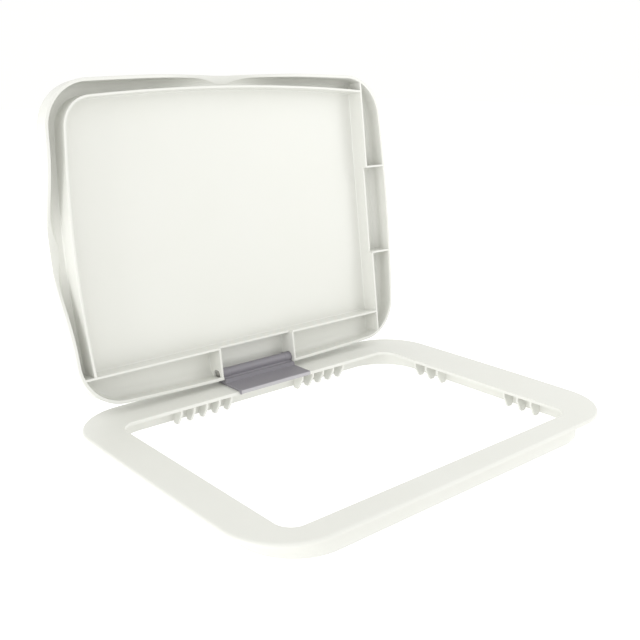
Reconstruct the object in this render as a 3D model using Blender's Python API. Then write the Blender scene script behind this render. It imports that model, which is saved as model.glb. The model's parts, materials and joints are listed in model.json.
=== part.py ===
"""Plastic deck hatch: a flanged frame, a ribbed lid, a hinge leaf and its pin.

Units are metres, +Z is up and +X runs along the hinge. The origin is the centre of the clear
opening, in the plane of the deck that the flange lies on. The lid is shown open, at its stop.
"""
import math

import bmesh
import bpy
from mathutils import Matrix, Vector

# Driving dimensions ---------------------------------------------------------------------------
CLEARANCE = 0.0003          # gap kept between pieces that meet
STRAIGHT = 500.0            # side radius that counts as a straight side

OPENING_HALF = (0.150, 0.1089)
OPENING_CORNER = 0.0135

FLANGE_HALF = (0.1890, 0.1408)
FLANGE_CENTRE = (0.0076, 0.0097)
FLANGE_ROUND = (6.0, 8.0)   # radius of the bowed short sides, and of the bowed long sides
FLANGE_CORNER = 0.0500
FLANGE_THICK = 0.0030
FLANGE_EDGE = 0.0022        # rounding of the flange's upper outer edge

COLLAR_OFFSET = 0.0144      # from the clear opening to the collar's inner face
COLLAR_WALL = 0.00285
COLLAR_CORNER = 0.045
COLLAR_DEPTH = 0.01305      # below the deck plane

GUSSET_THICK = 0.0022
GUSSET_LIP = 0.0015         # how far a gusset stops short of the opening
GUSSET_FOOT = 0.0070        # width of a gusset at its lower end
GUSSET_DEPTH = 0.0150       # below the deck plane
GUSSET_KNEE = 0.0040        # height below the flange where the free edge starts to slant
GUSSET_ROUND = 0.0018
BACK_GUSSETS = (0.0405, 0.0129, 5)     # first offset from HINGE_MIDDLE, pitch, number
SIDE_GUSSETS = (0.0400, 0.0145, 3)
HINGE_MIDDLE = 0.0020

OPEN_ANGLE = math.radians(97.34)
PIN_PLACE = (0.0, 0.1371, FLANGE_THICK + 0.0091)
PIN_RADIUS = 0.0030
PIN_HOLE_RADIUS = PIN_RADIUS + CLEARANCE
RIB_HOLE_RADIUS = 0.0045
PIN_RECESS = 0.0008          # of the pin's ends, in the holes of the lid's cross-ribs

# The lid is laid out closed: s runs from the hinge side to the free edge, h up from the rim.
PIN_S = -0.00345
PIN_H = 0.00805
LID_HALF = (0.1791, 0.1343)
LID_CENTRE_X = 0.0070
LID_CENTRE_S = 0.1263
LID_ROUND = (1.5, 3.2)
LID_CORNER = 0.0405
LID_HEIGHT = 0.02025
LID_WALL = 0.0027
LID_FLOOR = 0.01725         # height of the panel's inner face above the rim
LID_EDGE = 0.0045           # outer rounding between wall and panel
LID_FILLET = 0.0054         # inner fillet between wall and panel

RIB_THICK = 0.00225
RIB_ROOT = LID_FLOOR + 0.0012
RIB_STEP = 0.0043           # how much lower the ribs stand along the two hinge seats
BACK_RIB_S = 0.0213
RIGHT_RIB_X = 0.1602
BACK_SEAT = (-0.0348, 0.0486)       # cross-ribs of the hinge seat in use
RIGHT_SEAT = (0.0823, 0.1687)       # cross-ribs of the second, empty hinge seat
LEFT_RIB = (-0.1587, 0.111, 1.04)   # place, height of its bulge and radius
FRONT_RIB = (0.2490, 0.0070, 1.81)
RIB_CORNER = 0.0255

GRIP_WIDTH = 0.165          # the two waves cut in the rim for the fingers
GRIP_DEPTH = 0.0174
LEFT_GRIP_S = 0.1245
LEFT_GRIP_REACH = -0.1620
FRONT_GRIP_X = 0.0070
FRONT_GRIP_REACH = 0.2514

NOTCH_HEIGHT = 0.0135       # of the opening in the back wall that the hinge leaf passes through
NOTCH_REACH = -0.0030

LEAF_GAPS = (0.0018, CLEARANCE)     # between the leaf's ends and the cross-ribs of its seat
BARREL_RADIUS = 0.0047
GROOVE_RADIUS = 0.0012      # between the barrel and the block it stands on
BOSS_RADIUS = 0.0050
BOSS_WIDTH = 0.0075
PLATE_FRONT = 0.1046
PLATE_TOP = FLANGE_THICK + 0.00255
NOSE_ROUND = 0.0012
NOSE_DROP = 0.0010          # how far the plate's nose reaches down in front of the lip
WEB_FRONT = 0.1281
WEB_RIDGE = (0.1290, FLANGE_THICK + 0.0057)
TOOTH_WIDTH = 0.0021        # of the two teeth that drop in front of the flange's lip
TOOTH_THICK = 0.0020
TOOTH_DROP = 0.0024
TOOTH_INSET = 0.0006        # from the leaf's ends
TOOTH_ROUND = 0.0006

SIDE_STEPS = 5              # segments in half of a bowed side
CORNER_STEPS = 9
ROUND_STEPS = 3
HOLE_STEPS = 32


# Scene helpers --------------------------------------------------------------------------------
def clear_scene():
    for item in list(bpy.data.objects):
        bpy.data.objects.remove(item, do_unlink=True)


def new_collection(name):
    group = bpy.data.collections.new(name)
    bpy.context.scene.collection.children.link(group)
    return group


def plastic(name, colour, roughness, metallic=0.0):
    material = bpy.data.materials.new(name)
    material.use_nodes = True
    shader = material.node_tree.nodes["Principled BSDF"]
    shader.inputs["Base Color"].default_value = (*colour, 1.0)
    shader.inputs["Roughness"].default_value = roughness
    shader.inputs["Metallic"].default_value = metallic
    return material


# Outlines -------------------------------------------------------------------------------------
def arc(centre, radius, start, end, steps):
    """Points from start to end angle on a circle, both ends included."""
    return [
        (centre[0] + radius * math.cos(start + (end - start) * i / steps),
         centre[1] + radius * math.sin(start + (end - start) * i / steps))
        for i in range(steps + 1)
    ]


def tangent_corner(centre_a, radius_a, centre_b, radius_b, corner):
    """Centre of the circle of radius corner that touches two large circles from inside."""
    a, b = Vector(centre_a), Vector(centre_b)
    reach_a, reach_b = radius_a - corner, radius_b - corner
    span = (b - a).length
    along = (reach_a ** 2 - reach_b ** 2 + span ** 2) / (2 * span)
    across = math.sqrt(reach_a ** 2 - along ** 2)
    unit = (b - a) / span
    return a + unit * along, Vector((-unit.y, unit.x)) * across


def bowed_outline(half, bow, corner, centre=(0.0, 0.0), inset=0.0):
    """Anticlockwise rectangle with bowed sides and round corners, moved in by inset."""
    half_x, half_y = half[0] - inset, half[1] - inset
    bow_x, bow_y = bow[0] - inset, bow[1] - inset
    corner = corner - inset
    right, top = (half_x - bow_x, 0.0), (0.0, half_y - bow_y)
    middle, offset = tangent_corner(right, bow_x, top, bow_y, corner)
    spot = max(middle + offset, middle - offset, key=lambda point: point.x + point.y)
    low = math.atan2(spot.y, spot.x - right[0])
    high = math.atan2(spot.y - top[1], spot.x)
    side_steps = 1 if min(bow) >= STRAIGHT / 2 else SIDE_STEPS
    quarter = arc(right, bow_x, 0.0, low, side_steps)[:-1]
    quarter += arc(spot, corner, low, high, CORNER_STEPS)
    quarter += arc(top, bow_y, high, math.pi / 2, side_steps)[1:]
    upper = quarter + [(-x, y) for x, y in reversed(quarter[:-1])]
    whole = upper + [(x, -y) for x, y in reversed(upper[1:-1])]
    return [(x + centre[0], y + centre[1]) for x, y in whole]


def box_outline(low_x, low_y, high_x, high_y):
    return [(low_x, low_y), (high_x, low_y), (high_x, high_y), (low_x, high_y)]


# Solids ---------------------------------------------------------------------------------------
PRISM_AXES = {
    "X": Matrix(((0, 0, 1, 0), (1, 0, 0, 0), (0, 1, 0, 0), (0, 0, 0, 1))),
    "Y": Matrix(((0, 1, 0, 0), (0, 0, 1, 0), (1, 0, 0, 0), (0, 0, 0, 1))),
    "Z": Matrix.Identity(4),
}


def prism(name, outline, start, end, axis, group):
    """Solid with a flat outline, drawn out along one axis from start to end.

    The outline's pairs are (y, z) for a prism along X, (z, x) along Y and (x, y) along Z.
    """
    curve = bpy.data.curves.new(name, "CURVE")
    curve.dimensions = "2D"
    curve.fill_mode = "BOTH"
    curve.extrude = (end - start) / 2
    spline = curve.splines.new("POLY")
    spline.points.add(len(outline) - 1)
    for point, (first, second) in zip(spline.points, outline):
        point.co = (first, second, 0.0, 1.0)
    spline.use_cyclic_u = True
    guide = bpy.data.objects.new(name + "_outline", curve)
    guide.matrix_world = PRISM_AXES[axis] @ Matrix.Translation((0.0, 0.0, (start + end) / 2))
    group.objects.link(guide)
    bpy.context.view_layer.update()
    mesh = bpy.data.meshes.new_from_object(guide.evaluated_get(bpy.context.evaluated_depsgraph_get()))
    mesh.transform(guide.matrix_world)
    bpy.data.objects.remove(guide, do_unlink=True)
    shape = bmesh.new()
    shape.from_mesh(mesh)
    bmesh.ops.remove_doubles(shape, verts=shape.verts, dist=1e-6)
    bmesh.ops.dissolve_limit(shape, angle_limit=1e-3, verts=shape.verts, edges=shape.edges)
    bmesh.ops.recalc_face_normals(shape, faces=shape.faces)
    shape.to_mesh(mesh)
    shape.free()
    mesh.name = name
    solid = bpy.data.objects.new(name, mesh)
    group.objects.link(solid)
    return solid


def round_edges(solid, width, level):
    """Round the edges that lie all round one height of a solid."""
    shape = bmesh.new()
    shape.from_mesh(solid.data)
    rim = [edge for edge in shape.edges
           if all(abs(vert.co.z - level) < 1e-6 for vert in edge.verts)]
    bmesh.ops.bevel(shape, geom=rim, offset=width, offset_type="OFFSET", segments=ROUND_STEPS,
                    profile=0.5, affect="EDGES", clamp_overlap=True)
    shape.to_mesh(solid.data)
    shape.free()


def cylinder(name, radius, start, end, place, group):
    """Round bar along X through the given (y, z)."""
    mesh = bpy.data.meshes.new(name)
    shape = bmesh.new()
    bmesh.ops.create_cone(shape, cap_ends=True, segments=HOLE_STEPS, radius1=radius,
                          radius2=radius, depth=end - start)
    shape.transform(Matrix.Translation(((start + end) / 2, *place)) @ Matrix.Rotation(math.pi / 2, 4, "Y"))
    shape.to_mesh(mesh)
    shape.free()
    bar = bpy.data.objects.new(name, mesh)
    group.objects.link(bar)
    return bar


def combine(target, tool, operation):
    step = target.modifiers.new(f"{operation.lower()}_{tool.name}", "BOOLEAN")
    step.object = tool
    step.operation = operation
    step.solver = "EXACT"


def merge_meshes(name, solids, group):
    """One object holding several solids as they stand; the solids are used up."""
    shape = bmesh.new()
    for solid in solids:
        shape.from_mesh(solid.data)
        bpy.data.objects.remove(solid, do_unlink=True)
    mesh = bpy.data.meshes.new(name)
    shape.to_mesh(mesh)
    shape.free()
    merged = bpy.data.objects.new(name, mesh)
    group.objects.link(merged)
    return merged


def as_tool(solid, parent=None):
    """Mark a solid as a cutter or filler that isn't a piece of the hatch."""
    solid.hide_render = True
    solid.display_type = "WIRE"
    solid.parent = parent
    return solid


def finish(solid, material):
    solid.data.materials.clear()
    solid.data.materials.append(material)
    solid.data.shade_smooth()
    solid.data.set_sharp_from_angle(angle=math.radians(30))


# Frame ----------------------------------------------------------------------------------------
def gusset_profile():
    """Upright outline of a gusset, as (distance out from the opening, z)."""
    wall = COLLAR_OFFSET + COLLAR_WALL / 2
    foot = COLLAR_OFFSET - GUSSET_FOOT
    bottom = -GUSSET_DEPTH
    toe = arc((foot + GUSSET_ROUND, bottom + GUSSET_ROUND), GUSSET_ROUND, math.radians(200),
              math.radians(270), ROUND_STEPS)
    heel = arc((COLLAR_OFFSET - GUSSET_ROUND, bottom + GUSSET_ROUND), GUSSET_ROUND,
               math.radians(270), math.radians(360), ROUND_STEPS)
    return ([(wall, FLANGE_THICK / 2), (GUSSET_LIP, FLANGE_THICK / 2), (GUSSET_LIP, -GUSSET_KNEE)]
            + toe + heel + [(wall, bottom + 2 * GUSSET_ROUND)])


def make_gussets(tools):
    solids = []
    profile = gusset_profile()
    first, pitch, count = BACK_GUSSETS
    back = [(OPENING_HALF[1] + out, z) for out, z in profile]
    for side in (-1, 1):
        for i in range(count):
            middle = HINGE_MIDDLE + side * (first + i * pitch)
            solids.append(prism("gusset", back, middle - GUSSET_THICK / 2, middle + GUSSET_THICK / 2,
                                "X", tools))
    first, pitch, count = SIDE_GUSSETS
    right = [(z, OPENING_HALF[0] + out) for out, z in profile]
    for side in (-1, 1):
        for i in range(count):
            middle = side * (first + i * pitch)
            solids.append(prism("gusset", right, middle - GUSSET_THICK / 2, middle + GUSSET_THICK / 2,
                                "Y", tools))
    return as_tool(merge_meshes("frame_gussets", solids, tools))


def make_frame(parts, tools, material):
    outer = bowed_outline(FLANGE_HALF, FLANGE_ROUND, FLANGE_CORNER, FLANGE_CENTRE)
    frame = prism("frame", outer, 0.0, FLANGE_THICK, "Z", parts)
    round_edges(frame, FLANGE_EDGE, FLANGE_THICK)

    straight = (STRAIGHT, STRAIGHT)
    collar_half = tuple(size + COLLAR_OFFSET + COLLAR_WALL for size in OPENING_HALF)
    collar_outer = bowed_outline(collar_half, straight, COLLAR_CORNER)
    collar_inner = bowed_outline(collar_half, straight, COLLAR_CORNER, inset=COLLAR_WALL)
    collar = as_tool(prism("frame_collar", collar_outer, -COLLAR_DEPTH, FLANGE_THICK / 2, "Z", tools))
    hollow = as_tool(prism("frame_hollow", collar_inner, -2 * COLLAR_DEPTH, 0.0, "Z", tools))
    opening = as_tool(prism("frame_opening", bowed_outline(OPENING_HALF, straight, OPENING_CORNER),
                            -3 * COLLAR_DEPTH, COLLAR_DEPTH, "Z", tools))
    combine(frame, collar, "UNION")
    combine(frame, hollow, "DIFFERENCE")
    combine(frame, opening, "DIFFERENCE")
    combine(frame, make_gussets(tools), "UNION")
    finish(frame, material)
    return frame


# Lid ------------------------------------------------------------------------------------------
def lid_place(s, h):
    """(y, z) of a lid position, measured from the pin."""
    return PIN_S - s, h - PIN_H


def lid_outline(inset):
    centre = (LID_CENTRE_X, lid_place(LID_CENTRE_S, 0.0)[0])
    return bowed_outline(LID_HALF, LID_ROUND, LID_CORNER, centre, inset)


def lid_block(name, low_x, high_x, low_s, high_s, low_h, high_h, tools):
    """Box in lid positions."""
    near, bottom = lid_place(low_s, low_h)
    far, top = lid_place(high_s, high_h)
    return prism(name, box_outline(low_x, far, high_x, near), bottom, top, "Z", tools)


def rib_along_x(name, s, low_x, high_x, tools):
    return lid_block(name, low_x, high_x, s - RIB_THICK / 2, s + RIB_THICK / 2, 0.0, RIB_ROOT, tools)


def rib_along_s(name, x, low_s, high_s, tools):
    return lid_block(name, x - RIB_THICK / 2, x + RIB_THICK / 2, low_s, high_s, 0.0, RIB_ROOT, tools)


def curved_rib(tools):
    """The rib along the left side and the free edge, with one round corner between them."""
    left_x, left_s, left_radius = LEFT_RIB
    front_s, front_x, front_radius = FRONT_RIB
    left_centre = (left_x + left_radius, left_s)
    front_centre = (front_x, front_s - front_radius)
    middle, offset = tangent_corner(left_centre, left_radius, front_centre, front_radius, RIB_CORNER)
    corner = min(middle + offset, middle - offset, key=lambda point: point.x - point.y)
    start = math.pi + math.asin((left_s - BACK_RIB_S) / left_radius)
    meet = math.atan2(corner.y - left_s, corner.x - left_centre[0])
    leave = math.atan2(corner.y - front_centre[1], corner.x - front_x)
    end = math.acos((RIGHT_RIB_X - front_x) / front_radius)
    sides = []
    for shift in (RIB_THICK / 2, -RIB_THICK / 2):
        line = arc(left_centre, left_radius + shift, start, meet, 2 * SIDE_STEPS)[:-1]
        line += arc(corner, RIB_CORNER + shift, meet, leave, CORNER_STEPS)
        line += arc(front_centre, front_radius + shift, leave, end, 2 * SIDE_STEPS)[1:]
        sides.append(line)
    outline = sides[0] + sides[1][::-1]
    placed = [(x, lid_place(s, 0.0)[0]) for x, s in outline]
    return prism("curved_rib", placed, lid_place(0.0, 0.0)[1], lid_place(0.0, RIB_ROOT)[1], "Z", tools)


def wall_crossings(place, axis):
    """Where the middle of the lid's wall crosses x = place (axis 0) or s = place (axis 1)."""
    outline = [(x, PIN_S - y) for x, y in lid_outline(LID_WALL / 2)]
    found = []
    for one, two in zip(outline, outline[1:] + outline[:1]):
        if (one[axis] - place) * (two[axis] - place) < 0:
            share = (place - one[axis]) / (two[axis] - one[axis])
            found.append(one[1 - axis] + share * (two[1 - axis] - one[1 - axis]))
    return min(found), max(found)


def make_ribs(lid, tools):
    """Fillers that join the lid one after another, and the lowered stretches cut from them."""
    left_end = wall_crossings(BACK_RIB_S, 1)[0]
    ribs = [
        rib_along_x("back_rib", BACK_RIB_S, left_end, RIGHT_RIB_X, tools),
        rib_along_s("right_rib", RIGHT_RIB_X, *wall_crossings(RIGHT_RIB_X, 0), tools),
        curved_rib(tools),
    ]
    ribs += [rib_along_s(f"back_seat_rib_{i}", x, wall_crossings(x, 0)[0], BACK_RIB_S, tools)
             for i, x in enumerate(BACK_SEAT)]
    ribs += [rib_along_x(f"right_seat_rib_{i}", s, RIGHT_RIB_X, wall_crossings(s, 1)[1], tools)
             for i, s in enumerate(RIGHT_SEAT)]
    for rib in ribs:
        combine(lid, as_tool(rib, lid), "UNION")

    half_rib = RIB_THICK / 2
    steps = [
        lid_block("back_step", BACK_SEAT[0] + half_rib, BACK_SEAT[1] - half_rib,
                  BACK_RIB_S - RIB_THICK, BACK_RIB_S + RIB_THICK, -RIB_STEP, RIB_STEP, tools),
        lid_block("right_step", RIGHT_RIB_X - RIB_THICK, RIGHT_RIB_X + RIB_THICK,
                  RIGHT_SEAT[0] + half_rib, RIGHT_SEAT[1] - half_rib, -RIB_STEP, RIB_STEP, tools),
    ]
    for step in steps:
        combine(lid, as_tool(step, lid), "DIFFERENCE")


def wave_outline(centre):
    """Raised cosine above the rim, closed below it, as (place along the rim, h)."""
    below = -GRIP_DEPTH / 2
    count = 20
    wave = []
    for i in range(count + 1):
        turn = 2 * math.pi * (i / count - 0.5)
        wave.append((centre + GRIP_WIDTH * (i / count - 0.5), GRIP_DEPTH * (1 + math.cos(turn)) / 2))
    return [(wave[0][0], below)] + wave + [(wave[-1][0], below)]


def make_grips(lid, tools):
    left = [lid_place(s, h) for s, h in wave_outline(LEFT_GRIP_S)]
    outside = LID_CENTRE_X - LID_HALF[0] - LID_WALL
    left_cut = prism("left_grip", left, outside, LEFT_GRIP_REACH, "X", tools)
    front = [(lid_place(0.0, h)[1], x) for x, h in wave_outline(FRONT_GRIP_X)]
    far = lid_place(LID_CENTRE_S + LID_HALF[1] + LID_WALL, 0.0)[0]
    front_cut = prism("front_grip", front, far, lid_place(FRONT_GRIP_REACH, 0.0)[0], "Y", tools)
    for cut in (left_cut, front_cut):
        combine(lid, as_tool(cut, lid), "DIFFERENCE")


def make_lid(parts, tools, material):
    bottom, top = lid_place(0.0, 0.0)[1], lid_place(0.0, LID_HEIGHT)[1]
    floor = lid_place(0.0, LID_FLOOR)[1]
    lid = prism("lid", lid_outline(0.0), bottom, top, "Z", parts)
    round_edges(lid, LID_EDGE, top)
    hollow = prism("lid_hollow", lid_outline(LID_WALL), bottom - LID_WALL, floor, "Z", tools)
    round_edges(hollow, LID_FILLET, floor)
    combine(lid, as_tool(hollow, lid), "DIFFERENCE")
    make_ribs(lid, tools)
    make_grips(lid, tools)

    half_rib = RIB_THICK / 2
    notch = lid_block("back_notch", BACK_SEAT[0] + half_rib, BACK_SEAT[1] - half_rib,
                      LID_CENTRE_S - LID_HALF[1] - LID_WALL, NOTCH_REACH, -LID_WALL, NOTCH_HEIGHT, tools)
    combine(lid, as_tool(notch, lid), "DIFFERENCE")
    for i, x in enumerate(BACK_SEAT):
        hole = cylinder(f"pin_hole_{i}", RIB_HOLE_RADIUS, x - RIB_THICK / 2 - CLEARANCE / 2,
                        x + RIB_THICK / 2 + CLEARANCE, (0.0, 0.0), tools)
        combine(lid, as_tool(hole, lid), "DIFFERENCE")
    lid.location = PIN_PLACE
    lid.rotation_euler = (-OPEN_ANGLE, 0.0, 0.0)
    finish(lid, material)
    return lid


# Hinge ----------------------------------------------------------------------------------------
def leaf_profile():
    """Outline (y, z) of the leaf: barrel, block, flat plate and the nose in front of the lip."""
    _, pin_y, pin_z = PIN_PLACE
    foot = FLANGE_THICK + CLEARANCE
    lip = OPENING_HALF[1] - CLEARANCE
    nose = FLANGE_THICK - NOSE_DROP
    back = pin_y + BARREL_RADIUS
    groove_z = WEB_RIDGE[1] + GROOVE_RADIUS
    apart = BARREL_RADIUS + GROOVE_RADIUS
    groove_y = pin_y - math.sqrt(apart ** 2 - (pin_z - groove_z) ** 2)
    touch = math.atan2(pin_z - groove_z, pin_y - groove_y)
    barrel = arc((pin_y, pin_z), BARREL_RADIUS, 0.0, math.pi + touch, HOLE_STEPS // 2)
    barrel += arc((groove_y, groove_z), GROOVE_RADIUS, touch, -math.pi / 2, 2 * ROUND_STEPS)[1:]
    front_round = arc((PLATE_FRONT + NOSE_ROUND, PLATE_TOP - NOSE_ROUND), NOSE_ROUND,
                      math.pi / 2, math.pi, ROUND_STEPS)
    return ([(lip, foot), (back, foot)] + barrel + [WEB_RIDGE, (WEB_FRONT, PLATE_TOP)]
            + front_round + [(PLATE_FRONT, nose), (lip, nose)])


def tooth_profile():
    """Outline (y, z) of a tooth under the plate's nose, in front of the flange's lip."""
    back = OPENING_HALF[1] - CLEARANCE
    front = back - TOOTH_THICK
    bottom = FLANGE_THICK - TOOTH_DROP
    top = PLATE_TOP - NOSE_ROUND
    return [(front, top), (front, bottom + TOOTH_ROUND), (front + TOOTH_ROUND, bottom),
            (back, bottom), (back, top)]


def make_hinge_leaf(parts, tools, material):
    low = BACK_SEAT[0] + RIB_THICK / 2 + LEAF_GAPS[0]
    high = BACK_SEAT[1] - RIB_THICK / 2 - LEAF_GAPS[1]
    leaf = prism("hinge_leaf", leaf_profile(), low, high, "X", parts)
    bosses = [cylinder("leaf_boss", BOSS_RADIUS, x, x + BOSS_WIDTH, PIN_PLACE[1:], tools)
              for x in (low, high - BOSS_WIDTH)]
    combine(leaf, as_tool(merge_meshes("leaf_bosses", bosses, tools)), "UNION")
    teeth = [prism("leaf_tooth", tooth_profile(), x, x + TOOTH_WIDTH, "X", tools)
             for x in (low + TOOTH_INSET, high - TOOTH_INSET - TOOTH_WIDTH)]
    combine(leaf, as_tool(merge_meshes("leaf_teeth", teeth, tools)), "UNION")
    bore = cylinder("leaf_bore", PIN_HOLE_RADIUS, low - CLEARANCE, high + CLEARANCE, PIN_PLACE[1:], tools)
    combine(leaf, as_tool(bore), "DIFFERENCE")
    finish(leaf, material)
    return leaf


def make_hinge_pin(lid, parts, material):
    low = BACK_SEAT[0] - RIB_THICK / 2 + PIN_RECESS
    high = BACK_SEAT[1] + RIB_THICK / 2 - PIN_RECESS
    pin = cylinder("hinge_pin", PIN_RADIUS, low, high, (0.0, 0.0), parts)
    pin.parent = lid
    finish(pin, material)
    return pin


def main():
    clear_scene()
    parts = new_collection("deck_hatch")
    tools = new_collection("deck_hatch_tools")
    make_frame(parts, tools, plastic("frame_plastic", (0.84, 0.84, 0.81), 0.38))
    lid = make_lid(parts, tools, plastic("lid_plastic", (0.85, 0.85, 0.82), 0.36))
    make_hinge_leaf(parts, tools, plastic("leaf_plastic", (0.23, 0.22, 0.25), 0.42))
    make_hinge_pin(lid, parts, plastic("pin_steel", (0.35, 0.35, 0.36), 0.35, metallic=1.0))


main()
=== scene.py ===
import json
import math

import bmesh
import bpy
from mathutils import Matrix, Vector


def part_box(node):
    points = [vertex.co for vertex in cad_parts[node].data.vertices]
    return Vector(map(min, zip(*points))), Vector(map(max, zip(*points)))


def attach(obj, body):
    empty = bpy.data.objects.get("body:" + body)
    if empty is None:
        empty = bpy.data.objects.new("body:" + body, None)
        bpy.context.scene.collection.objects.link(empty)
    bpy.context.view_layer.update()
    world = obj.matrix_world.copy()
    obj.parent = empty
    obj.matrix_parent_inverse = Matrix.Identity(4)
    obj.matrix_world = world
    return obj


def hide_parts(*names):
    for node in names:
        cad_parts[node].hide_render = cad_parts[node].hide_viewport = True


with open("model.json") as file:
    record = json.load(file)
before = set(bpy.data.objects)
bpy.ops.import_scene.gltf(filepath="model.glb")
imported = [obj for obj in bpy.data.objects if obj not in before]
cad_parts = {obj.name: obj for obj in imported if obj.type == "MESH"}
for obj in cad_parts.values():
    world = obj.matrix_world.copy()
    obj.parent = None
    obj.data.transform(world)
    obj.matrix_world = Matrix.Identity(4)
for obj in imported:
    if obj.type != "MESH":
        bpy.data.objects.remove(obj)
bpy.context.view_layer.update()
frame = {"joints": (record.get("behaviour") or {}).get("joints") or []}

# Outlines: segments of half a side and of a corner, and a bow too large to be seen ------------
FRAME_STEPS = (14, 24)
LID_STEPS = (44, 22)
STRAIGHT = (500.0, 500.0)

# Segments in rounds
TINY_STEPS = 3
SMALL_STEPS = 4
OPENING_STEPS = 5
FLANGE_STEPS = 8
LATHE_STEPS = 64

# Frame: halves, centres and bow radii are (x, y) pairs ----------------------------------------
OPENING_HALF = (0.150, 0.1089)
OPENING_CORNER = 0.0135
OPENING_EDGE = 0.0006
OPENING_UNDER_EDGE = 0.0003
FLANGE_HALF = (0.1890, 0.1408)
FLANGE_CENTRE = (0.0076, 0.0097)
FLANGE_BOW = (6.0, 8.0)
FLANGE_CORNER = 0.0500
FLANGE_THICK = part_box("frame")[1].z
FLANGE_EDGE = 0.0022
FLANGE_LIP = 0.0004
FLAT_MARGIN_OUT = 0.0015
FLAT_MARGIN_IN = 0.0012
COLLAR_OFFSET = 0.0144
COLLAR_WALL = 0.00285
COLLAR_CORNER = 0.045
COLLAR_DEPTH = 0.01305
COLLAR_EDGE = 0.0006
COLLAR_FILLET = 0.0007

# Gussets; a row is (first from the middle, pitch, count) on either side of its middle
GUSSET_THICK = 0.0022
GUSSET_LIP = 0.0015
GUSSET_FOOT = 0.0070
GUSSET_DEPTH = -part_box("frame")[0].z
GUSSET_KNEE = 0.0040
GUSSET_ROUND = 0.0018
GUSSET_TOE_START = math.radians(200)
GUSSET_TOE_STEPS = 8
GUSSET_HEEL_STEPS = 6
GUSSET_BEVEL = 0.00045
GUSSET_BEVEL_STEPS = 3
BACK_GUSSETS = (0.0405, 0.0129, 5)
SIDE_GUSSETS = (0.0400, 0.0145, 3)
HINGE_MIDDLE = 0.0020

# Pin and its holes ----------------------------------------------------------------------------
PIN_PLACE = Vector(frame["joints"][0]["pos_m"])
OPEN_ANGLE = math.radians(frame["joints"][0]["range_deg"][1])
PIN_RADIUS = 0.0030
PIN_EDGE = 0.0004
PIN_EDGE_SHARES = ((0.0, 1.0), (0.3, 0.3), (1.0, 0.0))
PIN_HOLE_RADIUS = 0.0033
RIB_HOLE_RADIUS = 0.0045
RIB_HOLE_MOUTH = 0.0048
MOUTH_DEPTH = 0.0004
MOUTH_PAST = 0.00005
HOLE_TOOL_IN = 0.0002
HOLE_TOOL_OUT = 0.001
PIN_S = -0.00345
PIN_H = 0.00805
LID_TURN = Matrix.Translation(PIN_PLACE) @ Matrix.Rotation(-OPEN_ANGLE, 4, "X")

# Lid shell: halves, centres and bow radii are (x, s) pairs ------------------------------------
LID_HALF = (0.1791, 0.1343)
LID_CENTRE = (0.0070, 0.1263)
LID_BOW = (1.5, 3.2)
LID_CORNER = 0.0405
LID_HEIGHT = 0.0202
LID_WALL = 0.0027
LID_FLOOR = 0.01725
LID_EDGE = 0.0045
LID_FILLET = 0.0054
OUTER_WALL_STEPS = 14
INNER_WALL_STEPS = 18
PANEL_RINGS = (0.5, 0.9, 0.985)

# Rim; the shares of its round are (back from the inner wall, height)
RIM_ROUND = 0.0005
RIM_INNER_SHARES = ((1.0, 0.0), (0.35, 0.12))
RIM_INNER_START = 0.4
GRIP_WIDTH = 0.165
GRIP_DEPTH = 0.0174
GRIP_CAP = 0.01705
LEFT_GRIP_S = 0.1245
FRONT_GRIP_X = 0.0070

# Ribs; a curved one is (place of its outermost point, place along it, bow radius)
RIB_THICK = 0.00225
RIB_DRAFT = 0.00012
RIB_ROUND = 0.0004
RIB_FLARE = 0.0012
RIB_SINK = 0.0006
RIB_SHIFT = 0.00004
RIB_STEP = 0.0043
BACK_RIB_S = 0.0213
RIGHT_RIB_X = 0.1602
BACK_SEAT = (-0.0348, 0.0486)
RIGHT_SEAT = (0.0823, 0.1687)
LEFT_RIB = (-0.1587, 0.111, 1.04)
FRONT_RIB = (0.2490, 0.0070, 1.81)
RIB_CORNER = 0.0255
CURVED_RIB_STEPS = (30, 20, 40)
SLOT_HEIGHT = 0.0135
SLOT_REACH = -0.0030

# Hinge leaf -----------------------------------------------------------------------------------
CLEARANCE = 0.0003
BARREL_RADIUS = 0.0047
BARREL_STEPS = 44
GROOVE_RADIUS = 0.0012
GROOVE_STEPS = 10
BOSS_RADIUS = 0.0050
BOSS_WIDTH = 0.0075
BOSS_EDGE = 0.0003
BOSS_INSET = 0.00002
PLATE_FRONT = 0.1046
PLATE_TOP = FLANGE_THICK + 0.00255
NOSE_ROUND = 0.0012
NOSE_STEPS = 8
NOSE_DROP = 0.0010
WEB_FRONT = 0.1281
WEB_RIDGE = (0.1290, FLANGE_THICK + 0.0057)
TOOTH_WIDTH = 0.0021
TOOTH_THICK = 0.0020
TOOTH_DROP = 0.0024
TOOTH_INSET = 0.0006
TOOTH_ROUND = 0.0006
LEAF_BEVEL = 0.0002
LEAF_BEVEL_STEPS = 2

# Mesh treatment -------------------------------------------------------------------------------
BEVEL_ANGLE = math.radians(50.0)
SMOOTH_ANGLE = math.radians(32.0)
MERGE_DISTANCE = 2e-6
FACE_AREA_WEIGHT = 100

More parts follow.
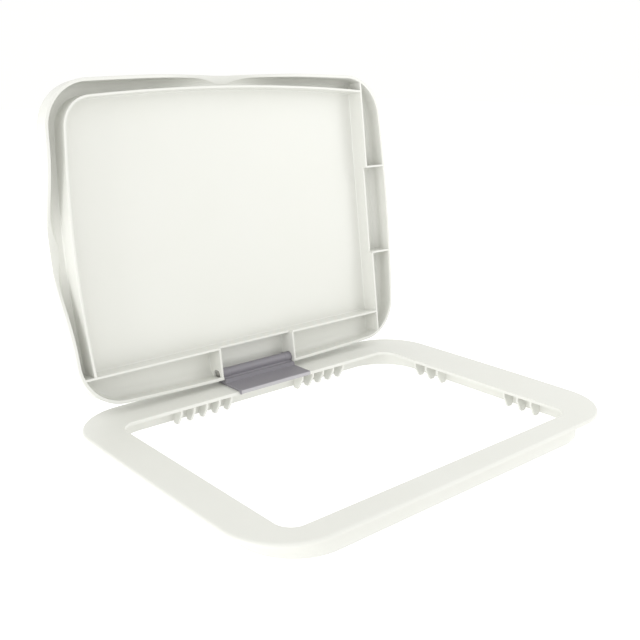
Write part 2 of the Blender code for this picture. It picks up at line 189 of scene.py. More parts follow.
# Materials: noise scales are per metre; a layer is (most of its blend, the noise's range that the
# blend is spread over, share of the colour) ---------------------------------------------------
FRAME_WHITE = (0.735, 0.738, 0.700)
# Painted shade: the lid is the same white plastic as the frame, painted a shade darker so that its
# well-lit panel reads darker.
LID_WHITE = (0.716, 0.719, 0.682)
WHITE_TONE = (0.985, 0.985, 0.975)
LEAF_GREY = (0.240, 0.230, 0.253)
LEAF_TONE = (0.92, 0.92, 0.93)
# Painted reflection: the leaf's front edge is painted this lighter grey for the light that its
# round nose reflects. The next three values say where along Y it starts, how soft its line is, and
# how far that line wanders.
NOSE_REFLECTION_GREY = (0.44, 0.43, 0.45)
REFLECTION_FROM = 0.1050
REFLECTION_BLUR = 0.0002
REFLECTION_WANDER = 0.0001
STEEL_DARK = (0.44, 0.43, 0.42)
STEEL_LIGHT = (0.58, 0.57, 0.56)
NOISE_MIDDLE = (0.3, 0.7)
FLOW_SCALE = 9.0
CLOUD_SCALE = 60.0
PATCH_SCALE = 22.0
PIT_RATIO = 2.7
CLOUD_LAYER = (0.35, (0.45, 0.75), 0.985)
GRAIN_LAYER = (0.22, (0.35, 0.65), 0.95)
CLOUD_GLOSS = (-0.035, 0.05)
GRAIN_GLOSS = (-0.03, 0.03)
SCUFF_STRETCH = (1400.0, 60.0, 90.0)
SCUFF_TURN = (0.3, 0.2, 0.5)
SCUFF_LIMITS = (0.68, 0.78)
PATCH_LIMITS = (0.52, 0.72)
SCUFF_BLEND = 0.10
SCUFF_SHARE = 1.06
PLASTIC_SPECULAR = 0.42
PIT_HEIGHT = 0.5
SCUFF_HEIGHT = -0.6
GRAIN_DISTANCE = 0.00006
FLOW_BUMP = 0.25
FLOW_DISTANCE = 0.0006
DRAWN_STRETCH = (40.0, 3000.0, 3000.0)
BLOTCH_SCALE = 500.0
STEEL_ROUGHNESS = (0.24, 0.46)
DRAWN_BUMP = 0.3
DRAWN_DISTANCE = 0.00003

# Stage: lights are (name, place, target, size, watts), angles are in degrees ------------------
FLOOR_SIZE = 6.0
FLOOR_GAP = 0.0002
FLOOR_GLOW = 0.60
FIBRE_SCALE = 260.0
FLOOR_GREYS = ((0.70, 0.70, 0.70), (0.74, 0.74, 0.74))
FLOOR_ROUGHNESS = 0.85
FLOOR_SPECULAR = 0.1
GLOW_COLOUR = (1.0, 1.0, 1.0, 1.0)
WORLD_COLOUR = (1.0, 1.0, 0.985, 1.0)
WORLD_STRENGTH = 1.01
LIGHTS = (
    ("key_right", (0.95, -0.48, 0.85), (0.0, 0.05, 0.1), (0.5, 0.5), 1.4),
    ("corner_right", (0.60, -0.40, 0.42), (0.16, -0.10, 0.0), (0.3, 0.3), 0.70),
    ("fill_left", (-1.6, -0.12, 0.28), (0.0, 0.05, 0.05), (0.6, 0.4), 6.5),
)
CAMERA_PLACE = (-0.4472, -0.4865, 0.2782)
CAMERA_DIP = 16.13
CAMERA_HEADING = -40.57
CAMERA_LENS = 48.83
CAMERA_SENSOR = 36.0
CAMERA_NEAR = 0.01

scene = bpy.context.scene


# Outlines -------------------------------------------------------------------------------------
def arc(centre, radius, start, end, steps):
    return [(centre[0] + radius * math.cos(start + (end - start) * i / steps),
             centre[1] + radius * math.sin(start + (end - start) * i / steps))
            for i in range(steps + 1)]


def quarter_round(radius, steps):
    """(run, rise) pairs of a quarter circle: from (0, 0) upright to (radius, radius) flat."""
    return [(radius * (1 - math.cos(math.pi / 2 * i / steps)),
             radius * math.sin(math.pi / 2 * i / steps)) for i in range(steps + 1)]


def tangent_corner(centre_a, radius_a, centre_b, radius_b, corner):
    """Centres of the circles of radius corner that touch two large circles from inside."""
    a, b = Vector(centre_a), Vector(centre_b)
    reach_a, reach_b = radius_a - corner, radius_b - corner
    span = (b - a).length
    along = (reach_a ** 2 - reach_b ** 2 + span ** 2) / (2 * span)
    across = math.sqrt(reach_a ** 2 - along ** 2)
    unit = (b - a) / span
    middle = a + unit * along
    offset = Vector((-unit.y, unit.x)) * across
    return middle + offset, middle - offset


def bowed_outline(half, bow, corner, centre, inset, steps):
    """Anticlockwise rectangle with bowed sides and round corners, moved in by inset."""
    side_steps, corner_steps = steps
    half_x, half_y = half[0] - inset, half[1] - inset
    bow_x, bow_y = bow[0] - inset, bow[1] - inset
    corner = corner - inset
    right, top = (half_x - bow_x, 0.0), (0.0, half_y - bow_y)
    spot = max(tangent_corner(right, bow_x, top, bow_y, corner),
               key=lambda point: point.x + point.y)
    low = math.atan2(spot.y, spot.x - right[0])
    high = math.atan2(spot.y - top[1], spot.x)
    quarter = arc(right, bow_x, 0.0, low, side_steps)[:-1]
    quarter += arc(spot, corner, low, high, corner_steps)
    quarter += arc(top, bow_y, high, math.pi / 2, side_steps)[1:]
    upper = quarter + [(-x, y) for x, y in reversed(quarter[:-1])]
    whole = upper + [(x, -y) for x, y in reversed(upper[1:-1])]
    return [(x + centre[0], y + centre[1]) for x, y in whole]


def left_normal(before, after):
    """Unit vector that points left of the way from one flat point to another."""
    along = (Vector(after) - Vector(before)).normalized()
    return Vector((-along.y, along.x))


# Meshes ---------------------------------------------------------------------------------------
def new_object(name, shape):
    bmesh.ops.recalc_face_normals(shape, faces=shape.faces)
    mesh = bpy.data.meshes.new(name)
    shape.to_mesh(mesh)
    shape.free()
    solid = bpy.data.objects.new(name, mesh)
    scene.collection.objects.link(solid)
    return solid


def bridge(shape, one, two):
    count = len(one)
    for i in range(count):
        j = (i + 1) % count
        shape.faces.new((one[i], one[j], two[j], two[i]))


def loft(name, loops, ring=False):
    """Closed solid through equal loops: capped at both ends, or joined end to end as a ring."""
    shape = bmesh.new()
    rows = [[shape.verts.new(point) for point in loop] for loop in loops]
    for one, two in zip(rows, rows[1:]):
        bridge(shape, one, two)
    if ring:
        bridge(shape, rows[-1], rows[0])
    else:
        shape.faces.new(rows[0])
        shape.faces.new(rows[-1])
    return new_object(name, shape)


def prism_x(name, outline, start, end):
    """Solid drawn out along X from an outline of (y, z) pairs."""
    return loft(name, [[(x, y, z) for y, z in outline] for x in (start, end)])


def prism_y(name, outline, start, end):
    """Solid drawn out along Y from an outline of (x, z) pairs."""
    return loft(name, [[(x, y, z) for x, z in outline] for y in (start, end)])


def lathe_x(name, stations, place):
    """Round solid along X through (y, z) with a radius at each x."""
    turns = [2 * math.pi * i / LATHE_STEPS for i in range(LATHE_STEPS)]
    return loft(name, [[(x, place[0] + radius * math.cos(turn), place[1] + radius * math.sin(turn))
                        for turn in turns] for x, radius in stations])


def apply_all(solid):
    """Turn the object's modifiers into its mesh."""
    old = solid.data
    evaluated = solid.evaluated_get(bpy.context.evaluated_depsgraph_get())
    solid.data = bpy.data.meshes.new_from_object(evaluated)
    solid.modifiers.clear()
    bpy.data.meshes.remove(old)
    solid.data.name = solid.name


def combine(target, tool, operation):
    step = target.modifiers.new(operation, "BOOLEAN")
    step.object = tool
    step.operation = operation
    step.solver = "EXACT"
    apply_all(target)
    bpy.data.objects.remove(tool, do_unlink=True)


def merge(name, solids):
    """One object that holds several solids which stand clear of one another."""
    shape = bmesh.new()
    for solid in solids:
        shape.from_mesh(solid.data)
        bpy.data.objects.remove(solid, do_unlink=True)
    return new_object(name, shape)


def bevel(solid, width, segments):
    step = solid.modifiers.new("bevel", "BEVEL")
    step.width = width
    step.segments = segments
    step.limit_method = "ANGLE"
    step.angle_limit = BEVEL_ANGLE
    step.use_clamp_overlap = True
    apply_all(solid)


def finish_piece(solid, material, body, node):
    """Merge doubles, smooth the shading up to its sharp edges, and register the piece."""
    shape = bmesh.new()
    shape.from_mesh(solid.data)
    bmesh.ops.remove_doubles(shape, verts=shape.verts, dist=MERGE_DISTANCE)
    shape.to_mesh(solid.data)
    shape.free()
    solid.data.shade_smooth()
    solid.data.set_sharp_from_angle(angle=SMOOTH_ANGLE)
    weigh = solid.modifiers.new("weigh", "WEIGHTED_NORMAL")
    weigh.keep_sharp = True
    weigh.weight = FACE_AREA_WEIGHT
    apply_all(solid)
    solid.data.materials.clear()
    solid.data.materials.append(material)
    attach(solid, body)
    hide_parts(node)


# Frame ----------------------------------------------------------------------------------------
def level_loops(half, bow, corner, centre=(0.0, 0.0)):
    """Function that gives the outline, moved in by inset, as a loop at height z."""
    def loop(inset, z):
        outline = bowed_outline(half, bow, corner, centre, inset, FRAME_STEPS)
        return [(x, y, z) for x, y in outline]
    return loop


def make_frame_body():
    """Flange and collar: round the flange's edge, over its top, through the opening, and down
    and up the collar, back to the flange's underside.

    The underside rises by FLANGE_LIP on its way out from the collar to the lip at its edge.
    """
    collar_half = tuple(size + COLLAR_OFFSET + COLLAR_WALL for size in OPENING_HALF)
    flange = level_loops(FLANGE_HALF, FLANGE_BOW, FLANGE_CORNER, FLANGE_CENTRE)
    opening = level_loops(OPENING_HALF, STRAIGHT, OPENING_CORNER)
    collar = level_loops(collar_half, STRAIGHT, COLLAR_CORNER)

    shoulder = FLANGE_THICK - FLANGE_EDGE
    loops = [flange(FLANGE_LIP - rise, FLANGE_LIP - run)
             for run, rise in quarter_round(FLANGE_LIP, TINY_STEPS)]
    loops += [flange(run, shoulder + rise)
              for run, rise in quarter_round(FLANGE_EDGE, FLANGE_STEPS)]
    loops += [flange(FLANGE_EDGE + FLAT_MARGIN_OUT, FLANGE_THICK),
              opening(-OPENING_EDGE - FLAT_MARGIN_IN, FLANGE_THICK)]
    loops += [opening(-run, FLANGE_THICK - OPENING_EDGE + rise)
              for run, rise in reversed(quarter_round(OPENING_EDGE, OPENING_STEPS))]
    loops += [opening(-run, OPENING_UNDER_EDGE - rise)
              for run, rise in quarter_round(OPENING_UNDER_EDGE, TINY_STEPS)]

    fillet = quarter_round(COLLAR_FILLET, SMALL_STEPS)
    edge = quarter_round(COLLAR_EDGE, SMALL_STEPS)
    low = COLLAR_EDGE - COLLAR_DEPTH
    loops += [collar(COLLAR_WALL + COLLAR_FILLET - rise, -run) for run, rise in fillet]
    loops += [collar(COLLAR_WALL - run, low - rise) for run, rise in edge]
    loops += [collar(run, low - rise) for run, rise in reversed(edge)]
    loops += [collar(-run, rise - COLLAR_FILLET) for run, rise in fillet]
    return loft("frame_moulding", loops, ring=True)


def gusset_profile():
    """Upright outline of a gusset, as (distance out from the opening, z)."""
    wall = COLLAR_OFFSET + COLLAR_WALL / 2
    top = FLANGE_THICK / 2
    bottom = -GUSSET_DEPTH
    low = bottom + GUSSET_ROUND
    toe = arc((COLLAR_OFFSET - GUSSET_FOOT + GUSSET_ROUND, low), GUSSET_ROUND,
              GUSSET_TOE_START, math.radians(270), GUSSET_TOE_STEPS)
    heel = arc((COLLAR_OFFSET - GUSSET_ROUND, low), GUSSET_ROUND,
               math.radians(270), math.radians(360), GUSSET_HEEL_STEPS)
    return ([(wall, top), (GUSSET_LIP, top), (GUSSET_LIP, -GUSSET_KNEE)]
            + toe + heel + [(wall, bottom + 2 * GUSSET_ROUND)])


def gusset_row(prism, opening, row, middle):
    """Gussets under one lip, in two groups on either side of the row's middle."""
    first, pitch, count = row
    outline = [(opening + out, z) for out, z in gusset_profile()]
    gussets = []
    for side in (-1, 1):
        for i in range(count):
            place = middle + side * (first + i * pitch)
            gusset = prism("gusset", outline, place - GUSSET_THICK / 2, place + GUSSET_THICK / 2)
            bevel(gusset, GUSSET_BEVEL, GUSSET_BEVEL_STEPS)
            gussets.append(gusset)
    return gussets


def make_frame(material):
    solid = make_frame_body()
    gussets = gusset_row(prism_x, OPENING_HALF[1], BACK_GUSSETS, HINGE_MIDDLE)
    gussets += gusset_row(prism_y, OPENING_HALF[0], SIDE_GUSSETS, 0.0)
    combine(solid, merge("gussets", gussets), "UNION")
    finish_piece(solid, material, "frame", "frame")


# Lid ------------------------------------------------------------------------------------------
def lid_point(x, s, h):
    """Place of a point of the closed lid, with the pin at the origin."""
    return (x, PIN_S - s, h - PIN_H)


def lid_outline(inset):
    return bowed_outline(LID_HALF, LID_BOW, LID_CORNER, LID_CENTRE, inset, LID_STEPS)


def finger_wave(run):
    """Height of a finger wave at a distance along the rim from its middle."""
    if abs(run) >= GRIP_WIDTH / 2:
        return 0.0
    return GRIP_DEPTH * (1 + math.cos(2 * math.pi * run / GRIP_WIDTH)) / 2


def rim_height(x, s):
    """Height of the rim's edge at a place on the outline."""
    height = 0.0
    if x < LID_CENTRE[0] - LID_HALF[0] + LID_CORNER:
        height = max(height, finger_wave(s - LEFT_GRIP_S))
    if s > LID_CENTRE[1] + LID_HALF[1] - LID_CORNER:
        height = max(height, finger_wave(x - FRONT_GRIP_X))
    return min(height, GRIP_CAP)


def side_points(low, flat, radius, wall, steps):
    """(inset, h) at even steps up one side of the shell: upright, then round to its flat."""
    start = flat - radius
    upright = max(0.0, start - low)
    first = math.asin(max(0.0, low - start) / radius)
    length = upright + radius * (math.pi / 2 - first)
    points = []
    for i in range(steps + 1):
        run = length * i / steps
        turn = first + max(0.0, run - upright) / radius
        points.append((wall + radius * (1 - math.cos(turn)),
                       min(low + run, start) + radius * math.sin(turn)))
    return points


def wall_section(low):
    """(inset, h) down the outer wall, over the rim at height low, and up the inner wall."""
    outer = side_points(low + RIM_ROUND, LID_HEIGHT, LID_EDGE, 0.0, OUTER_WALL_STEPS)
    inner = side_points(low + RIM_ROUND * RIM_INNER_START, LID_FLOOR, LID_FILLET, LID_WALL,
                        INNER_WALL_STEPS)
    out_edge, in_edge = outer[0][0], inner[0][0]
    section = outer[::-1]
    section += [(out_edge + run, low + RIM_ROUND - rise)
                for run, rise in quarter_round(RIM_ROUND, TINY_STEPS)[1:]]
    section.append(((out_edge + in_edge) / 2, low))
    section += [(in_edge - RIM_ROUND * back, low + RIM_ROUND * rise)
                for back, rise in RIM_INNER_SHARES]
    return section + inner


def make_lid_shell():
    """The lid's shell: outer panel, outer wall, rim, inner wall and the panel's inner face."""
    base = lid_outline(0.0)
    count = len(base)
    inward = [left_normal(base[i - 1], base[(i + 1) % count]) for i in range(count)]
    sections = [wall_section(rim_height(x, s)) for x, s in base]
    centre = Vector(LID_CENTRE)

    def wall_point(i, inset, h):
        return lid_point(base[i][0] + inward[i].x * inset, base[i][1] + inward[i].y * inset, h)

    def panel_ring(inset, h, shrink):
        spots = [centre + (Vector(base[i]) + inward[i] * inset - centre) * shrink
                 for i in range(count)]
        return [lid_point(spot.x, spot.y, h) for spot in spots]

    walls = [[wall_point(i, *sections[i][k]) for i in range(count)]
             for k in range(len(sections[0]))]
    outside = [panel_ring(LID_EDGE, LID_HEIGHT, shrink) for shrink in PANEL_RINGS]
    inside = [panel_ring(LID_WALL + LID_FILLET, LID_FLOOR, shrink)
              for shrink in reversed(PANEL_RINGS)]
    return loft("lid_moulding", outside + walls + inside)


def rib(path, low=0.0):
    """Upright rib along a path of (x, s), with a round edge at height low and a flared root.

    RIB_SHIFT keeps its edge out of the planes that other faces lie in.
    """
    half = RIB_THICK / 2
    flank = [(half - RIB_DRAFT - RIB_ROUND + rise, low + RIB_SHIFT + run)
             for run, rise in quarter_round(RIB_ROUND, TINY_STEPS)]
    flank += [(half + run, LID_FLOOR - RIB_FLARE + rise)
              for run, rise in quarter_round(RIB_FLARE, SMALL_STEPS)]
    flank.append((half + RIB_FLARE, LID_FLOOR + RIB_SINK))
    section = flank + [(-out, h) for out, h in reversed(flank)]
    points = [Vector(point) for point in path]
    loops = []
    for i, point in enumerate(points):
        side = left_normal(points[max(0, i - 1)], points[min(len(points) - 1, i + 1)])
        loops.append([lid_point(point.x + side.x * out, point.y + side.y * out, h)
                      for out, h in section])
    return loft("rib", loops)


def seated_rib(stops, point):
    """Straight rib in three lengths between its stops; the middle one is a lower hinge seat."""
    return [rib([point(start), point(end)], low)
            for start, end, low in zip(stops, stops[1:], (0.0, RIB_STEP, 0.0))]


def wall_crossings(place, axis):
    """Where the middle of the lid's wall crosses x = place (axis 0) or s = place (axis 1)."""
    outline = lid_outline(LID_WALL / 2)
    found = []
    for one, two in zip(outline, outline[1:] + outline[:1]):
        if (one[axis] - place) * (two[axis] - place) < 0:
            share = (place - one[axis]) / (two[axis] - one[axis])
            found.append(one[1 - axis] + share * (two[1 - axis] - one[1 - axis]))
    return min(found), max(found)


def curved_rib_path():
    """(x, s) along the rib that follows the left and free edges, with one round corner."""
    left_x, left_s, left_radius = LEFT_RIB
    front_s, front_x, front_radius = FRONT_RIB
    left_steps, corner_steps, front_steps = CURVED_RIB_STEPS
    left_centre = (left_x + left_radius, left_s)
    front_centre = (front_x, front_s - front_radius)
    corner = min(tangent_corner(left_centre, left_radius, front_centre, front_radius, RIB_CORNER),
                 key=lambda point: point.x - point.y)
    start = math.pi + math.asin((left_s - BACK_RIB_S) / left_radius)
    meet = math.atan2(corner.y - left_s, corner.x - left_centre[0])
    leave = math.atan2(corner.y - front_centre[1], corner.x - front_x)
    end = math.acos((RIGHT_RIB_X - front_x) / front_radius)
    path = arc(left_centre, left_radius, start, meet, left_steps)[:-1]
    path += arc(corner, RIB_CORNER, meet, leave, corner_steps)
    path += arc(front_centre, front_radius, leave, end, front_steps)[1:]
    return path


def hinge_slot():
    """Tool that opens the hinge-side wall between the cross-ribs of the seat in use."""
    _, near, bottom = lid_point(0.0, LID_CENTRE[1] - LID_HALF[1] - LID_WALL, -LID_WALL)
    _, far, top = lid_point(0.0, SLOT_REACH, SLOT_HEIGHT)
    return prism_x("slot", [(far, bottom), (near, bottom), (near, top), (far, top)],
                   BACK_SEAT[0] + RIB_THICK / 2, BACK_SEAT[1] - RIB_THICK / 2)


def pin_hole(side, x):
    """Tool for the hole in the cross-rib at x; its mouth, away from the leaf, is a bit wider."""
    half = RIB_THICK / 2
    stations = ((-half - HOLE_TOOL_IN, RIB_HOLE_RADIUS), (half - MOUTH_DEPTH, RIB_HOLE_RADIUS),
                (half + MOUTH_PAST, RIB_HOLE_MOUTH), (half + HOLE_TOOL_OUT, RIB_HOLE_MOUTH))
    return lathe_x("pin_hole", sorted((x + side * run, radius) for run, radius in stations),
                   (0.0, 0.0))


def make_lid(material):
    solid = make_lid_shell()
    left_end = wall_crossings(BACK_RIB_S, 1)[0]
    back_end, free_end = wall_crossings(RIGHT_RIB_X, 0)
    ribs = seated_rib((left_end, *BACK_SEAT, RIGHT_RIB_X), lambda x: (x, BACK_RIB_S))
    ribs += seated_rib((back_end, *RIGHT_SEAT, free_end), lambda s: (RIGHT_RIB_X, s))
    ribs.append(rib(curved_rib_path()))
    ribs += [rib([(x, wall_crossings(x, 0)[0]), (x, BACK_RIB_S)], RIB_SHIFT) for x in BACK_SEAT]
    ribs += [rib([(RIGHT_RIB_X, s), (wall_crossings(s, 1)[1], s)], RIB_SHIFT) for s in RIGHT_SEAT]
    for piece in ribs:
        combine(solid, piece, "UNION")
    combine(solid, hinge_slot(), "DIFFERENCE")
    for side, x in zip((-1, 1), BACK_SEAT):
        combine(solid, pin_hole(side, x), "DIFFERENCE")
    solid.data.transform(LID_TURN)
    finish_piece(solid, material, "lid", "lid")


# Hinge ----------------------------------------------------------------------------------------
def leaf_profile():
    """Outline of the leaf as (y, z): plate, nose over the flange's lip, web, groove and barrel."""
    _, pin_y, pin_z = PIN_PLACE
    foot = FLANGE_THICK + CLEARANCE
    lip = OPENING_HALF[1] - CLEARANCE
    nose = FLANGE_THICK - NOSE_DROP
    groove_z = WEB_RIDGE[1] + GROOVE_RADIUS
    apart = BARREL_RADIUS + GROOVE_RADIUS
    groove_y = pin_y - math.sqrt(apart ** 2 - (pin_z - groove_z) ** 2)
    touch = math.atan2(pin_z - groove_z, pin_y - groove_y)
    barrel = arc((pin_y, pin_z), BARREL_RADIUS, 0.0, math.pi + touch, BARREL_STEPS)
    groove = arc((groove_y, groove_z), GROOVE_RADIUS, touch, -math.pi / 2, GROOVE_STEPS)[1:]
    front = arc((PLATE_FRONT + NOSE_ROUND, PLATE_TOP - NOSE_ROUND), NOSE_ROUND,
                math.pi / 2, math.pi, NOSE_STEPS)
    return ([(lip, foot), (pin_y + BARREL_RADIUS, foot)] + barrel + groove
            + [WEB_RIDGE, (WEB_FRONT, PLATE_TOP)] + front + [(PLATE_FRONT, nose), (lip, nose)])


def tooth_profile():
    back = OPENING_HALF[1] - CLEARANCE
    front = back - TOOTH_THICK
    bottom = FLANGE_THICK - TOOTH_DROP
    top = PLATE_TOP - NOSE_ROUND
    return [(front, top), (front, bottom + TOOTH_ROUND), (front + TOOTH_ROUND, bottom),
            (back, bottom), (back, top)]


def make_leaf(material):
    low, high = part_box("hinge_leaf")[0].x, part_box("hinge_leaf")[1].x
    solid = prism_x("hinge_leaf_moulding", leaf_profile(), low, high)
    bevel(solid, LEAF_BEVEL, LEAF_BEVEL_STEPS)
    for x in (low, high - BOSS_WIDTH):
        boss = lathe_x("boss", [(x + BOSS_INSET, BOSS_RADIUS - BOSS_EDGE),
                                (x + BOSS_EDGE, BOSS_RADIUS),
                                (x + BOSS_WIDTH - BOSS_EDGE, BOSS_RADIUS),
                                (x + BOSS_WIDTH, BOSS_RADIUS - BOSS_EDGE)], PIN_PLACE[1:])
        combine(solid, boss, "UNION")
    for x in (low + TOOTH_INSET, high - TOOTH_INSET - TOOTH_WIDTH):
        tooth = prism_x("tooth", tooth_profile(), x, x + TOOTH_WIDTH)
        bevel(tooth, LEAF_BEVEL, LEAF_BEVEL_STEPS)
        combine(solid, tooth, "UNION")
    bore = lathe_x("bore", [(low - CLEARANCE, PIN_HOLE_RADIUS),
                            (high + CLEARANCE, PIN_HOLE_RADIUS)], PIN_PLACE[1:])
    combine(solid, bore, "DIFFERENCE")
    finish_piece(solid, material, "frame", "hinge_leaf")


def make_pin(material):
    low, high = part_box("hinge_pin")[0].x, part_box("hinge_pin")[1].x
    edge = [(PIN_EDGE * run, PIN_RADIUS - PIN_EDGE * drop) for run, drop in PIN_EDGE_SHARES]
    stations = [(low + run, radius) for run, radius in edge]
    stations += [(high - run, radius) for run, radius in reversed(edge)]
    solid = lathe_x("hinge_pin_rod", stations, PIN_PLACE[1:])
    finish_piece(solid, material, "lid", "hinge_pin")


# Materials ------------------------------------------------------------------------------------
def new_material(name):
    """A material, its node tree, its shader's inputs and its object coordinates."""
    material = bpy.data.materials.new(name)
    material.use_nodes = True
    tree = material.node_tree
    place = tree.nodes.new("ShaderNodeTexCoord").outputs["Object"]
    return material, tree, tree.nodes["Principled BSDF"].inputs, place


def noise(tree, coordinates, scale, detail=4.0, roughness=0.55):
    node = tree.nodes.new("ShaderNodeTexNoise")
    node.inputs["Scale"].default_value = scale
    node.inputs["Detail"].default_value = detail
    node.inputs["Roughness"].default_value = roughness
    tree.links.new(coordinates, node.inputs["Vector"])
    return node.outputs["Fac"]


def spread(tree, source, low, high, start=0.0, end=1.0):
    """Map start to end of the source onto low to high."""
    node = tree.nodes.new("ShaderNodeMapRange")
    node.inputs["From Min"].default_value = start
    node.inputs["From Max"].default_value = end
    node.inputs["To Min"].default_value = low
    node.inputs["To Max"].default_value = high
    tree.links.new(source, node.inputs["Value"])
    return node.outputs["Result"]


def blend_colour(tree, factor, one, two):
    node = tree.nodes.new("ShaderNodeMix")
    node.data_type = "RGBA"
    # For colours the node's inputs are 0 (factor), 6 and 7, and its output is 2.
    tree.links.new(factor, node.inputs[0])
    for socket, colour in ((node.inputs[6], one), (node.inputs[7], two)):
        if isinstance(colour, tuple):
            socket.default_value = (*colour, 1.0)
        else:
            tree.links.new(colour, socket)
    return node.outputs[2]


def maths(tree, operation, one, two):
    node = tree.nodes.new("ShaderNodeMath")
    node.operation = operation
    for socket, value in zip(node.inputs, (one, two)):
        if isinstance(value, float):
            socket.default_value = value
        else:
            tree.links.new(value, socket)
    return node.outputs[0]


def stretched(tree, coordinates, scales, turn=(0.0, 0.0, 0.0)):
    node = tree.nodes.new("ShaderNodeMapping")
    node.inputs["Scale"].default_value = scales
    node.inputs["Rotation"].default_value = turn
    tree.links.new(coordinates, node.inputs["Vector"])
    return node.outputs["Vector"]


def relief(tree, height, strength, distance):
    node = tree.nodes.new("ShaderNodeBump")
    node.inputs["Strength"].default_value = strength
    node.inputs["Distance"].default_value = distance
    tree.links.new(height, node.inputs["Height"])
    return node


def tinted(colour, share):
    return tuple(min(1.0, part * share) for part in colour)


def painted_edge_reflection(tree, place, wander, shade, reflection_colour):
    """Painted reflection: blend to the lighter colour in front of a set place along Y, at a line
    that wanders a little.
    """
    split = tree.nodes.new("ShaderNodeSeparateXYZ")
    tree.links.new(place, split.inputs[0])
    shift = spread(tree, wander, -REFLECTION_WANDER, REFLECTION_WANDER, *NOISE_MIDDLE)
    reach = maths(tree, "ADD", split.outputs["Y"], shift)
    reflection_share = spread(tree, reach, 1.0, 0.0, REFLECTION_FROM - REFLECTION_BLUR, REFLECTION_FROM + REFLECTION_BLUR)
    return blend_colour(tree, reflection_share, shade, reflection_colour)


def moulded_plastic(name, colour, tone, roughness, grain, bump, reflection_colour=None):
    """Satin moulded plastic: spark-eroded grain, faint flow marks, fine scuffs.

    The optional last argument is the colour of a painted reflection along the front edge, where
    the round nose reflects light.
    """
    material, tree, inputs, place = new_material(name)
    flow = noise(tree, place, FLOW_SCALE, detail=3.0)
    cloud = noise(tree, place, CLOUD_SCALE, detail=5.0, roughness=0.6)
    fine = noise(tree, place, grain, detail=3.0, roughness=0.6)
    pits = noise(tree, place, grain * PIT_RATIO, detail=2.0, roughness=0.5)
    lines = noise(tree, stretched(tree, place, SCUFF_STRETCH, SCUFF_TURN), 1.0,
                  detail=2.0, roughness=0.4)
    patches = noise(tree, place, PATCH_SCALE, detail=2.0)
    scuffs = maths(tree, "MULTIPLY", spread(tree, lines, 0.0, 1.0, *SCUFF_LIMITS),
                   spread(tree, patches, 0.0, 1.0, *PATCH_LIMITS))
    faint_scuffs = maths(tree, "MULTIPLY", scuffs, SCUFF_BLEND)

    shade = blend_colour(tree, spread(tree, flow, 0.0, 1.0, *NOISE_MIDDLE), colour,
                         tuple(part * share for part, share in zip(colour, tone)))
    for source, (most, limits, share) in ((cloud, CLOUD_LAYER), (fine, GRAIN_LAYER)):
        shade = blend_colour(tree, spread(tree, source, 0.0, most, *limits), shade,
                             tinted(colour, share))
    shade = blend_colour(tree, faint_scuffs, shade, tinted(colour, SCUFF_SHARE))
    # Painted reflection along the front edge, when a colour for it is given.
    if reflection_colour:
        shade = painted_edge_reflection(tree, place, cloud, shade, reflection_colour)
    tree.links.new(shade, inputs["Base Color"])

    low, high = (roughness + change for change in CLOUD_GLOSS)
    gloss = maths(tree, "ADD", spread(tree, cloud, low, high, *NOISE_MIDDLE),
                  spread(tree, fine, *GRAIN_GLOSS, *NOISE_MIDDLE))
    tree.links.new(maths(tree, "ADD", gloss, faint_scuffs), inputs["Roughness"])
    inputs["Specular IOR Level"].default_value = PLASTIC_SPECULAR

    height = maths(tree, "ADD", fine, maths(tree, "MULTIPLY", pits, PIT_HEIGHT))
    height = maths(tree, "ADD", height, maths(tree, "MULTIPLY", scuffs, SCUFF_HEIGHT))
    grain_relief = relief(tree, height, bump, GRAIN_DISTANCE)
    flow_relief = relief(tree, flow, FLOW_BUMP, FLOW_DISTANCE)
    tree.links.new(flow_relief.outputs["Normal"], grain_relief.inputs["Normal"])
    tree.links.new(grain_relief.outputs["Normal"], inputs["Normal"])
    return material


def drawn_steel(name):
    """Stainless pin stock with drawn lines along it and slight blotches."""
    material, tree, inputs, place = new_material(name)
    inputs["Metallic"].default_value = 1.0
    lines = noise(tree, stretched(tree, place, DRAWN_STRETCH), 1.0, detail=3.0)
    blotches = noise(tree, place, BLOTCH_SCALE)
    tree.links.new(blend_colour(tree, blotches, STEEL_DARK, STEEL_LIGHT), inputs["Base Color"])
    tree.links.new(spread(tree, lines, *STEEL_ROUGHNESS), inputs["Roughness"])
    drawn_relief = relief(tree, lines, DRAWN_BUMP, DRAWN_DISTANCE)
    tree.links.new(drawn_relief.outputs["Normal"], inputs["Normal"])
    return material


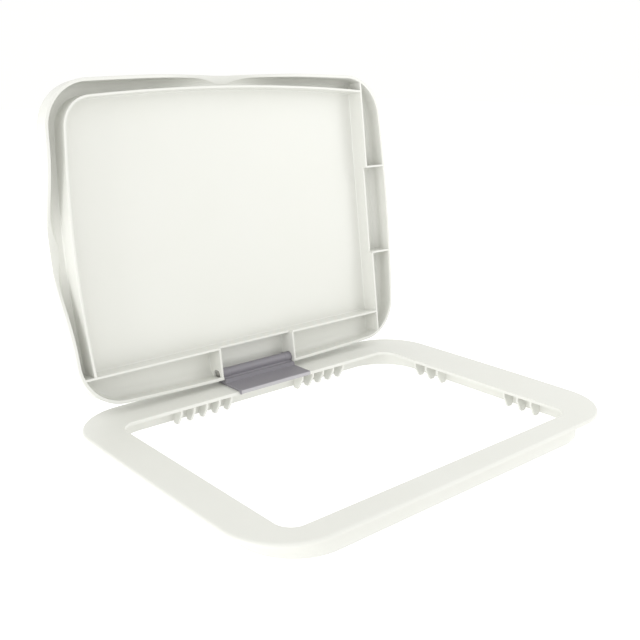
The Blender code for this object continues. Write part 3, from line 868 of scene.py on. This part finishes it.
# Stage ----------------------------------------------------------------------------------------
def make_floor():
    shape = bmesh.new()
    bmesh.ops.create_grid(shape, x_segments=1, y_segments=1, size=FLOOR_SIZE)
    floor = new_object("floor", shape)
    floor.location = (0.0, 0.0, -GUSSET_DEPTH - FLOOR_GAP)
    material, tree, inputs, place = new_material("floor_paper")
    fibre = noise(tree, place, FIBRE_SCALE, detail=3.0)
    tree.links.new(blend_colour(tree, fibre, *FLOOR_GREYS), inputs["Base Color"])
    inputs["Roughness"].default_value = FLOOR_ROUGHNESS
    inputs["Specular IOR Level"].default_value = FLOOR_SPECULAR
    inputs["Emission Color"].default_value = GLOW_COLOUR
    inputs["Emission Strength"].default_value = FLOOR_GLOW
    floor.data.materials.append(material)


def make_studio():
    """White surroundings, a low strong light from the left and two soft ones from the right."""
    world = bpy.data.worlds.new("studio")
    scene.world = world
    world.use_nodes = True
    backdrop = world.node_tree.nodes["Background"]
    backdrop.inputs["Color"].default_value = WORLD_COLOUR
    backdrop.inputs["Strength"].default_value = WORLD_STRENGTH
    for name, place, target, size, watts in LIGHTS:
        light = bpy.data.lights.new(name, "AREA")
        light.shape = "RECTANGLE"
        light.size, light.size_y = size
        light.energy = watts
        lamp = bpy.data.objects.new(name, light)
        lamp.location = place
        aim = Vector(target) - Vector(place)
        lamp.rotation_euler = aim.to_track_quat("-Z", "Y").to_euler()
        scene.collection.objects.link(lamp)


def make_camera():
    camera = bpy.data.cameras.new("camera")
    camera.lens = CAMERA_LENS
    camera.sensor_width = CAMERA_SENSOR
    camera.clip_start = CAMERA_NEAR
    eye = bpy.data.objects.new("camera", camera)
    eye.location = CAMERA_PLACE
    eye.rotation_euler = (math.radians(90.0 - CAMERA_DIP), 0.0, math.radians(CAMERA_HEADING))
    scene.collection.objects.link(eye)
    scene.camera = eye


make_frame(moulded_plastic("frame_abs", FRAME_WHITE, WHITE_TONE,
                           roughness=0.40, grain=1500.0, bump=0.30))
# The lid's white carries painted shade: it is a shade darker than the frame's.
make_lid(moulded_plastic("lid_abs", LID_WHITE, WHITE_TONE,
                         roughness=0.38, grain=1500.0, bump=0.30))
# The leaf's front edge gets a painted reflection.
make_leaf(moulded_plastic("leaf_nylon", LEAF_GREY, LEAF_TONE,
                          roughness=0.40, grain=2200.0, bump=0.45, reflection_colour=NOSE_REFLECTION_GREY))
make_pin(drawn_steel("pin_steel_look"))
make_floor()
make_studio()
make_camera()
scene.view_settings.view_transform = "Standard"
